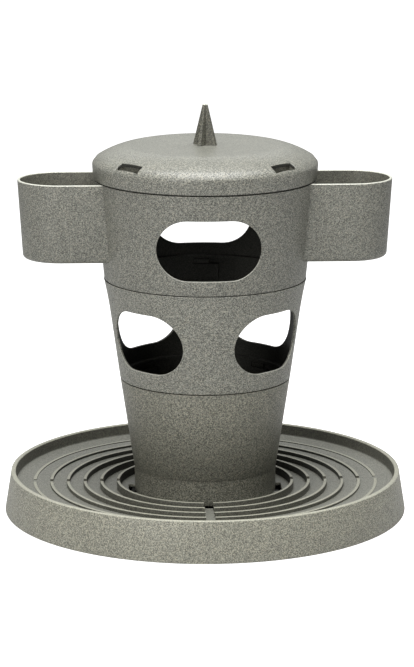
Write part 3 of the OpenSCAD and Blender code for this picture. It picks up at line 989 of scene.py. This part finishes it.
# %% Lower section
FOOT_R, CONE_START_R = 66.9, 67.3
GROOVE_H, GROOVE_D, RIM_ROUND = 0.8, 1.2, 0.6
LUG_W, LUG_H, LUG_DROP, LUG_ROOT = 14.5, 4.3, 1.2, 0.8
SPIGOT_H, SPIGOT_T, LEDGE_H, FIT = 20.0, 2.2, 1.8, 0.4
TWIST = 16
STEM_W, TOE_W, TOE_R, TOE_H = 8, 22, 70, 4
HOOK_T, HOOK_IN, STEM_UP = 5, 0.6, 2
GROOVE_LAP, PAINT_LAP = 0.02, 0.1


def lower_outer(z):
    """Outer radius of the lower section's cone."""
    return CONE_START_R + (lower_top_r - CONE_START_R) * (z - crease_z) / (seam1_z - crease_z)


def stepped_top(radius, z):
    """Corners of a section's top: round edge, shadow groove and seat."""
    return [(radius, z - GROOVE_H, RIM_ROUND), (radius - GROOVE_D, z - GROOVE_H, 0.2),
            (radius - GROOVE_D, z - SEAT_GAP, 0.2), (radius - WALL, z - SEAT_GAP, 0.5)]


def lock_lugs(section, outer_at, seam_z, first_azimuth):
    """The four locking lugs on the inside of a section's top."""
    top = seam_z - LUG_DROP
    wall_r = outer_at(top - LUG_H) - WALL

    def lug(bm):
        block(bm, LUG_W, wall_r - FIT - SPIGOT_T, wall_r + LUG_ROOT, top - LUG_H, top)

    # Painted shade: the lugs take the dark inside finish.
    piece_in_fours(f"{section}_section_lugs", lug, first_azimuth, section, "inside")


def foot_hook(bm):
    """Draws a hook: a stem through the tray's floor and a toe under it."""
    toe_top = floor_at(0) - WALL - SEAT_GAP
    block(bm, STEM_W, FOOT_R - HOOK_T, FOOT_R - HOOK_IN, toe_top - TOE_H, FOOT_Z + STEM_UP)
    block(bm, TOE_W, FOOT_R - HOOK_T, TOE_R, toe_top - TOE_H, toe_top)


def lower_shell():
    bm = bmesh.new()
    lathe(bm, rounded([
        (FOOT_R - WALL, FOOT_Z, 0.5), (FOOT_R, FOOT_Z, 0.6), (FOOT_R, crease_z, 0.25),
        (CONE_START_R, crease_z, 0.3), *stepped_top(lower_top_r, seam1_z),
        (CONE_START_R - WALL, crease_z, 6)]), closed=True)
    return mesh_from(bm, "lower_section_shell")


def in_groove(seam_z):
    """A test for the faces of the shadow groove below a seam, not its seat."""
    return lambda spot, normal: spot.z > seam_z - GROOVE_H - GROOVE_LAP and not (
        normal.z > 0.7 and spot.z > seam_z - SEAT_GAP - PAINT_LAP)


lower = finish_piece("lower_section_shell", lower_shell(), "lower", "lower", "lower_section")
# Painted shade: the inside of the section is darkened.
paint(lower, "inside", faces_axis)
# Painted shade: the shadow groove under the seam is near-black.
paint(lower, "deep", in_groove(seam1_z))
lock_lugs("lower", lower_outer, seam1_z, 45)
hooks = piece_in_fours("foot_hooks", foot_hook, -TWIST / 2, "lower", "lower")
# Painted shade: all but the hooks' undersides are near-black, as seen through the tray's holes.
paint(hooks, "deep", lambda spot, normal: normal.z > -0.5)

# %% [markdown]
# ## The middle and upper sections
# Both are turned walls with windows. The wall between its two ends is laid flat,
# filled round the windows and rolled up, outside and inside, and each window gets a
# cut face with round edges. The stepped top and the ring that reaches down into the
# section below are turned as before. The ring has slots that let the lugs in and hold
# them after the twist. Those stay out of sight behind the wall, so a boolean is good
# enough there.

# %% Ends and slots of a section
TOP_H, SKIRT_RISE, INSIDE_RISE = 3, 2, 1
CUTTER_IN, CUTTER_T, CUTTER_DOWN, CUTTER_LAP = 3, 14, 2, 0.5


def ring_profile(inner_low, inner_top, z):
    """Corners of the ring below a section, from the ledge inside to the wall outside."""
    return [(inner_top - FIT - SPIGOT_T, z + LEDGE_H, 0.5), (inner_top - FIT - SPIGOT_T, z, 0),
            (inner_low - FIT - SPIGOT_T, z - SPIGOT_H, 0.5), (inner_low - FIT, z - SPIGOT_H, 0.5),
            (inner_top - FIT, z, 0)]


def slot_box(bm, middle_r, width, turn, bottom, top):
    """Draws a box through the ring, turned from the front against the twist."""
    for v in bmesh.ops.create_cube(bm, size=1.0)["verts"]:
        x, y = turned(v.co.x * width, -middle_r + v.co.y * CUTTER_T, math.radians(-turn))
        v.co = mm(x, y, bottom + (v.co.z + 0.5) * (top - bottom))


def taken_out(mesh, cutter_mesh):
    """What a boolean leaves of a mesh when another is cut out of it."""
    cutter = in_scene("cutter", cutter_mesh)

    def set_up(modifier):
        modifier.operation, modifier.solver, modifier.object = "DIFFERENCE", "EXACT", cutter

    left = modified(mesh, "BOOLEAN", set_up)
    bpy.data.objects.remove(cutter)
    return left


def cut_slots(mesh, radius, seam_z, first_azimuth):
    """Takes the bayonet slots out of a section's ring, each as a run and an entry."""
    ring_r = radius - FIT - SPIGOT_T
    reach = math.asin((LUG_W / 2 + FIT) / ring_r)
    run_w = 2 * ring_r * math.sin(reach + math.radians(TWIST / 2))
    low = seam_z - LUG_DROP - LUG_H - FIT
    for box in ((run_w, TWIST / 2, low, seam_z - LUG_DROP + FIT),
                (LUG_W + 4 * FIT, TWIST, seam_z - SPIGOT_H - CUTTER_DOWN, low + CUTTER_LAP)):
        mesh = taken_out(mesh, four_copies(
            "cutter", lambda bm: slot_box(bm, radius - CUTTER_IN, *box), first_azimuth))
    return mesh


# %% Whole section
def sill_edge(outer_at, seam_z):
    """A test for the round outer edges of a section's window sills, which carry a painted highlight.
    """
    return lambda spot, normal: normal.z > 0.2 and spot.z < seam_z - 2 * WALL and (
        math.hypot(spot.x, spot.y) > outer_at(spot.z) - WINDOW_EDGE - PAINT_LAP)


def out_of_sight(outer_at, low):
    """A test for a section's inner wall, its ledge and the ring below its seam."""
    return lambda spot, normal: (
        spot.z < low or math.hypot(spot.x, spot.y) < outer_at(spot.z) - WALL + PAINT_LAP)


def windowed_section(section, outer_at, top_r, seams, below, windows, starts):
    """Makes and paints a section between two seams.

    below gives the radii inside the section it stands in, at its ring's foot and at the
    seam. starts gives the azimuths where the flat wall is joined and where a slot lies.
    """
    low, high = seams
    top, skirt, inside = high - TOP_H, low + SKIRT_RISE, low + LEDGE_H + INSIDE_RISE

    def inner_at(z):
        return outer_at(z) - WALL

    bm = bmesh.new()
    lathe(bm, rounded([(outer_at(top), top, 0), *stepped_top(top_r, high),
                       (inner_at(top), top, 0)]))
    lathe(bm, rounded([(inner_at(inside), inside, 0), *ring_profile(*below, low),
                       (outer_at(low), low, 0.5), (outer_at(skirt), skirt, 0)]))
    windowed_wall(bm, outer_at, skirt, top, starts[0], windows)
    windowed_wall(bm, inner_at, inside, top, starts[0], windows)
    for window in windows:
        window_reveal(bm, window, outer_at, inner_at)
    name = f"{section}_section_shell"
    mesh = cut_slots(mesh_from(bm, name), below[1], low, starts[1])
    piece = finish_piece(name, mesh, section, section, f"{section}_section")
    # Painted shade: the inner wall, its ledge and the ring below the seam are darkened.
    paint(piece, "inside", out_of_sight(outer_at, low))
    # Painted highlight on the round outer edges of the window sills.
    paint(piece, "edge", sill_edge(outer_at, high))
    # Painted shade: the shadow groove under the top seam is near-black.
    paint(piece, "deep", in_groove(high))


# %% Middle section
MIDDLE_STEP = 0.2
FLARE_H, FLARE_OUT = 36.0, 1.5
MIDDLE_WINDOW = {"width": 83.4, "height": 56.5, "sill": seam1_z + 16.4}
middle_bottom_r = lower_top_r + MIDDLE_STEP


def middle_outer(z):
    """Outer radius of the middle section: a cone whose top flares a little."""
    slope = (middle_top_r - FLARE_OUT - middle_bottom_r) / (seam2_z - seam1_z)
    flare = max(z - seam2_z + FLARE_H, 0) / FLARE_H
    return middle_bottom_r + slope * (z - seam1_z) + FLARE_OUT * flare ** 2


windowed_section("middle", middle_outer, middle_top_r, (seam1_z, seam2_z),
                 (lower_outer(seam1_z - SPIGOT_H) - WALL, lower_top_r - WALL),
                 [Window(a, **MIDDLE_WINDOW) for a in DIAGONALS], (0, 45))
lock_lugs("middle", middle_outer, seam2_z, 0)

# %% Upper section
UPPER_STEP = 0.5
UPPER_WINDOW = {"width": 95.5, "height": 56.2, "sill": seam2_z + 13.9}
upper_bottom_r = middle_top_r - UPPER_STEP


def upper_outer(z):
    """Outer radius of the upper section."""
    return upper_bottom_r + (upper_top_r - upper_bottom_r) * (z - seam2_z) / (seam3_z - seam2_z)


windowed_section("upper", upper_outer, upper_top_r, (seam2_z, seam3_z),
                 (middle_outer(seam2_z - SPIGOT_H) - WALL, middle_top_r - WALL),
                 [Window(a, **UPPER_WINDOW) for a in (0, 180)], (-90, 0))

# %% [markdown]
# ## The side pockets
# A pocket is a tub with a round outer end and leaning walls, open at the top, that
# sits on the round wall of the upper section. Its profile, from the underside over
# the rim and down to the inner floor, is swept along a U: out along the front, round
# the end and back. The underside and the floor are filled in strips across the U.
# Its ends follow the tower's wall and sink into it by a hair, so no gap shows.

# %% Pockets
POCKET_WALL, POCKET_LEAN, POCKET_ROUND = 2.6, 4.6, 4.3
RIM_SOFT, RIM_HIGHLIGHT, INTO_WALL, FLAT_R = 1.0, 0.6, 0.4, 24.0
SIDE_STEPS, END_STEPS, ACROSS = 10, 22, 14

pocket_low, pocket_high = (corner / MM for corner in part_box("right_pocket"))
pocket_rim_r = (pocket_high.y - pocket_low.y) / 2
pocket_end_x = pocket_high.x - pocket_rim_r


def from_wall(y, z, step):
    """How far out a step lies on the way from just inside the tower's wall to the round end."""
    wall_x = math.sqrt((upper_outer(z) - INTO_WALL) ** 2 - y * y)
    return wall_x + (pocket_end_x - wall_x) * step / SIDE_STEPS


def pocket_mesh(name, side):
    """The pocket on +X, or mirrored for side -1."""
    bm = bmesh.new()

    def verts(points, z):
        return [bm.verts.new(mm(side * x, y, z)) for x, y in points]

    def path(r, z):
        straight = [(from_wall(r, z, k), -r) for k in range(SIDE_STEPS)]
        bend = [(pocket_end_x + r * math.cos(a), r * math.sin(a))
                for a in (math.pi * (k / (2 * END_STEPS) - 0.5) for k in range(2 * END_STEPS + 1))]
        return verts(straight + bend + [(x, -y) for x, y in straight[::-1]], z)

    def line_across(k, z):
        turn = max(k - SIDE_STEPS, 0) / END_STEPS * math.pi / 2
        half, end_x = FLAT_R * math.cos(turn), pocket_end_x + FLAT_R * math.sin(turn)
        ys = [-half + 2 * half * j / ACROSS for j in range(ACROSS + 1)]
        return verts([(from_wall(y, z, k) if k < SIDE_STEPS else end_x, y) for y in ys], z)

    low_r, floor_z = pocket_rim_r - POCKET_LEAN, pocket_low.z + POCKET_WALL
    rows = [path(r, z) for r, z in rounded([
        (FLAT_R, pocket_low.z, 0), (low_r, pocket_low.z, POCKET_ROUND),
        (pocket_rim_r, pocket_high.z, RIM_SOFT),
        (pocket_rim_r - POCKET_WALL, pocket_high.z, RIM_SOFT),
        (low_r - POCKET_WALL, floor_z, POCKET_ROUND - POCKET_WALL),
        (FLAT_R, floor_z, 0)], steps=5)]
    join_strips(bm, rows)
    for end in (0, -1):
        bm.faces.new([row[end] for row in rows])
    fillings = []
    for z in (pocket_low.z, floor_z):
        lines = [line_across(k, z) for k in range(SIDE_STEPS + END_STEPS + 1)]
        join_strips(bm, lines)
        fillings.append(lines[0])
    join_strips(bm, fillings)
    return mesh_from(bm, name)


for side_name, side in (("right", 1), ("left", -1)):
    pocket = finish_piece(f"{side_name}_pocket_tub", pocket_mesh(f"{side_name}_tub", side),
                          "upper", "pocket", f"{side_name}_pocket")
    # Painted shade on the pocket's inside, and a painted highlight on the land of its rim.
    paint(pocket, "recess", lambda spot, normal: normal.z > -0.1 and (
        normal.z > 0.3 or normal.y * spot.y + min(normal.x * side, 0) < -0.02))
    paint(pocket, "pocket_land", lambda spot, normal: spot.z > pocket_high.z - RIM_HIGHLIGHT)

# %% [markdown]
# ## The lid
# The lid is flat in the middle and falls over a curved shoulder to an upright skirt.
# Two arcs that meet without a kink give the shoulder and the corner, outside and
# inside. The four slots in the shoulder are laid out in plan and lifted to the curve,
# so their edges stay crisp and round. Under the lid sit a locating ring, lugs below
# the slots with small walls at their ends, and a boss for the spike's stem.

# %% Lid curves
SHOULDER_W, SHOULDER_R, SHOULDER_A0 = 34.0, 79.0, math.radians(8.6)
CORNER_R, SKIRT_H, SKIRT_LEAN = 7.7, 12.5, 0.7
LID_TURN = -1.3

lid_r, crown_z = far_corner("lid").x, far_corner("lid").z
crown_r = lid_r - SHOULDER_W
corner_x, corner_z = lid_r - CORNER_R, seam3_z + SKIRT_H
shoulder_end = math.asin((SHOULDER_W + SHOULDER_R * math.sin(SHOULDER_A0) - CORNER_R)
                         / (SHOULDER_R - CORNER_R))
shoulder_x = crown_r - SHOULDER_R * math.sin(SHOULDER_A0)
shoulder_z = crown_z - SHOULDER_R * math.cos(SHOULDER_A0)


def lid_surface(inset):
    """Height of the lid over a radius: its top, or its underside at an inset."""
    def height(r):
        shoulder, corner = SHOULDER_R - inset, CORNER_R - inset
        if r <= shoulder_x + shoulder * math.sin(SHOULDER_A0):
            return crown_z - inset
        if r <= corner_x + corner * math.sin(shoulder_end):
            return shoulder_z + math.sqrt(shoulder ** 2 - (r - shoulder_x) ** 2)
        return corner_z + math.sqrt(max(corner ** 2 - (r - corner_x) ** 2, 0))
    return height


lid_top, lid_under = lid_surface(0), lid_surface(WALL)
print("lid crown radius", round(crown_r, 2), "mm, height", round(crown_z, 2), "mm")

# %% Lid shell
SLOT_W, SLOT_IN, SLOT_OUT = 28.0, 94.7, 102.6
SLOT_EDGE, SLOT_ROUND, SLOT_CLEAR = 0.4, 0.5, 1.2
STEM_R, STEM_FIT, BOSS_T, BOSS_LEN = 5.0, 0.08, 3.5, 17.0
PLATE_IN, PLATE_OUT = 75.0, 104.6
UNDER_OUT, UNDER_CAP = 102.3, 101.9
CROWN_SOFT, BEND_STEPS, HEM_W = 40.0, 5, 4
slot_narrow = SLOT_W / 2 * SLOT_IN / SLOT_OUT
SLOT_CORNERS = [(-SLOT_W / 2, -SLOT_OUT), (SLOT_W / 2, -SLOT_OUT),
                (slot_narrow, -SLOT_IN), (-slot_narrow, -SLOT_IN)]


def lid_slots(grow, cap=math.inf):
    """The four slots' outlines in plan; points beyond cap are pulled in to it."""
    outline = soft_outline(SLOT_CORNERS, SLOT_ROUND, grow, arc_steps=3, edge_steps=10)
    pulled = []
    for x, y in outline:
        pull = min(1, cap / math.hypot(x, y))
        pulled.append((x * pull, y * pull))
    return [turned_outline(pulled, a + LID_TURN) for a in DIAGONALS]


def lid_shell():
    bm = bmesh.new()
    bore_r = STEM_R + STEM_FIT
    boss_r = bore_r + BOSS_T
    under_kink = shoulder_x + (SHOULDER_R - WALL) * math.sin(SHOULDER_A0)
    lathe(bm, rounded([
        (PLATE_IN, lid_under(PLATE_IN), 0), (under_kink, crown_z - WALL, CROWN_SOFT),
        (boss_r, crown_z - WALL, 1.2), (boss_r, crown_z - BOSS_LEN, 0.5),
        (bore_r, crown_z - BOSS_LEN, 0.3), (bore_r, crown_z, 0.3),
        (crown_r, crown_z, CROWN_SOFT), (PLATE_IN, lid_top(PLATE_IN), 0)], steps=6))
    start = math.asin((PLATE_OUT - corner_x) / CORNER_R)
    bend = [(corner_x + CORNER_R * math.sin(a), corner_z + CORNER_R * math.cos(a))
            for a in (start + (math.pi / 2 - start) * k / BEND_STEPS
                      for k in range(BEND_STEPS + 1))]
    hem = rounded([(lid_r, corner_z, 0), (lid_r - SKIRT_LEAN, seam3_z, 0.7),
                   (lid_r - SKIRT_LEAN - WALL, seam3_z, 0.5), (lid_r - WALL, corner_z, 0)])
    lathe(bm, bend + hem[1:] + [(UNDER_OUT, lid_under(UNDER_OUT))])
    under_slots, keep_out = lid_slots(0, UNDER_CAP), lid_slots(SLOT_CLEAR)
    slotted_plate(bm, lid_top, PLATE_IN, PLATE_OUT, lid_slots(SLOT_EDGE), keep_out)
    slotted_plate(bm, lid_under, PLATE_IN, UNDER_OUT, under_slots, keep_out)
    slot_edges(bm, lid_slots, SLOT_EDGE, lid_top, lid_under, under_slots)
    return mesh_from(bm, "lid_shell")


lid = finish_piece("lid_shell", lid_shell(), "lid", "lid", "lid")
# Painted shade: the lid's underside and the inside of its skirt are darkened.
paint(lid, "inside", lambda spot, normal: normal.z < -0.3 or (
    math.hypot(spot.x, spot.y) < lid_r - HEM_W and spot.z < lid_under(0) and normal.z < 0.3))

# %% Ring, lugs and slot walls under the lid
RING_REACH, RING_T, RING_IN = 9.0, 2.4, 0.1
INTO_LID, LINER_IN, LUG_INTO_RING = 1, 1, 1.2
LUG_UNDER_W, LUG_UNDER_H = SLOT_W - 2, 5.0
END_WALL_GAP, END_WALL_T = 0.05, 1.6
ring_z = seam3_z - RING_REACH
lug_out = upper_outer(ring_z) - WALL - FIT


def lid_ring():
    bm = bmesh.new()
    outer = SLOT_IN - RING_IN
    inner = outer - RING_T
    lathe(bm, rounded([
        (inner, ring_z, 0.5), (outer, ring_z, 0.5), (outer, lid_under(outer) + INTO_LID, 0),
        (inner, lid_under(inner) + INTO_LID, 0)]), closed=True)
    return mesh_from(bm, "lid_ring")


def slot_liner(bm):
    """Draws the two small walls at a slot's ends and a lug under it.

    The block comes last, as faces made after a bevel come in an order that varies.
    """
    inner = SLOT_IN - LINER_IN
    outline = [(inner, ring_z + 1), (lug_out, ring_z + 1), (lug_out, seam3_z + 0.8),
               (lid_r - SKIRT_LEAN - WALL + 0.2, seam3_z + 1.4), (lid_r - WALL, corner_z)]
    outline += [(r, lid_under(r) + INTO_LID) for r in (101.5, 99.5, 97.0, inner)]
    side_angle = math.atan(SLOT_W / 2 / SLOT_OUT)
    for side in (-1, 1):
        faces = [[], []]
        for r, z in outline:
            reach = r / math.cos(side_angle) if r > SLOT_OUT else r
            for face, extra in zip(faces, (END_WALL_GAP, END_WALL_GAP + END_WALL_T)):
                azimuth = side * math.degrees(side_angle + extra / SLOT_OUT)
                face.append(bm.verts.new(around(azimuth, reach, z)))
        for face in faces:
            bm.faces.new(face)
        join_rings(bm, *faces)
    block(bm, LUG_UNDER_W, SLOT_IN - LUG_INTO_RING, lug_out, ring_z, ring_z + LUG_UNDER_H)


# Painted shade: the ring and the lugs under the lid take a darker finish.
finish_piece("lid_ring", lid_ring(), "lid", "recess")
piece_in_fours("lid_lugs", slot_liner, 45 + LID_TURN, "lid", "recess")

# %% [markdown]
# ## The spike
# Four tapered fins meet in a cross. Its section is drawn by rule, a cross with round
# tips and soft inner corners, and stacked from the base to the blunt tip, where the
# last rings draw in. The round stem that plugs into the lid is turned.

# %% Spike
FIN_BASE_R, FIN_TIP_R = 11.8, 2.3
FIN_BASE_T, FIN_TIP_T = 4.0, 2.0
FIN_SOFT, TIP_SOFT, TIP_THIN = 0.45, 0.6, 0.8
STEM_LEN, STEM_RISE = 19.0, 0.5
SPIKE_AZIMUTH = 58.5
FIN_STEPS, TIP_ANGLES = 10, (30, 60, 85)
TIP_HIGHLIGHT = 0.9
spike_top_z = far_corner("spike").z
spike_base_z = crown_z + SEAT_GAP


def cross_section(reach, half, soft):
    """Points of a cross with four arms, anticlockwise."""
    tip = min(soft, half * TIP_THIN)
    points = []
    for arm in range(4):
        for cx, cy, radius, a0, a1 in ((reach - tip, tip - half, tip, -90, 0),
                                       (reach - tip, half - tip, tip, 0, 90),
                                       (half + soft, half + soft, soft, 270, 180)):
            for k in range(EDGE_STEPS + 1):
                a = math.radians(a0 + (a1 - a0) * k / EDGE_STEPS)
                points.append(turned(cx + radius * math.cos(a), cy + radius * math.sin(a),
                                     math.radians(90 * arm)))
    return points


def spike_mesh():
    bm = bmesh.new()
    height = spike_top_z - spike_base_z
    levels = [(k / FIN_STEPS * (1 - TIP_SOFT / height), 0.0) for k in range(FIN_STEPS + 1)]
    levels += [(1 - TIP_SOFT / height * (1 - math.sin(a)), TIP_SOFT * (1 - math.cos(a)))
               for a in map(math.radians, TIP_ANGLES)]
    rings = []
    for share, inset in levels:
        reach = FIN_BASE_R + (FIN_TIP_R - FIN_BASE_R) * share - inset
        half = (FIN_BASE_T + (FIN_TIP_T - FIN_BASE_T) * share) / 2 - inset * TIP_THIN
        outline = turned_outline(cross_section(reach, half, FIN_SOFT), SPIKE_AZIMUTH)
        rings.append([bm.verts.new(mm(x, y, spike_base_z + height * share)) for x, y in outline])
    join_all(bm, rings)
    bm.faces.new(rings[0])
    bm.faces.new(rings[-1])
    stem_low, stem_high = crown_z - STEM_LEN, spike_base_z + STEM_RISE
    lathe(bm, rounded([(0, stem_low, 0), (STEM_R, stem_low, 0.6),
                       (STEM_R, stem_high, 0.2), (0, stem_high, 0)]))
    return mesh_from(bm, "spike")


spike = finish_piece("spike_fins", spike_mesh(), "spike", "spike", "spike")
# Painted highlight on the spike's blunt tip.
paint(spike, "pocket_land", lambda spot, normal: spot.z > spike_top_z - TIP_HIGHLIGHT)

# %% [markdown]
# ## The last step
# The view layer is brought up to date. The dressed feeder has to stay inside the CAD
# model's box.

# %% Update the view layer
bpy.context.view_layer.update()
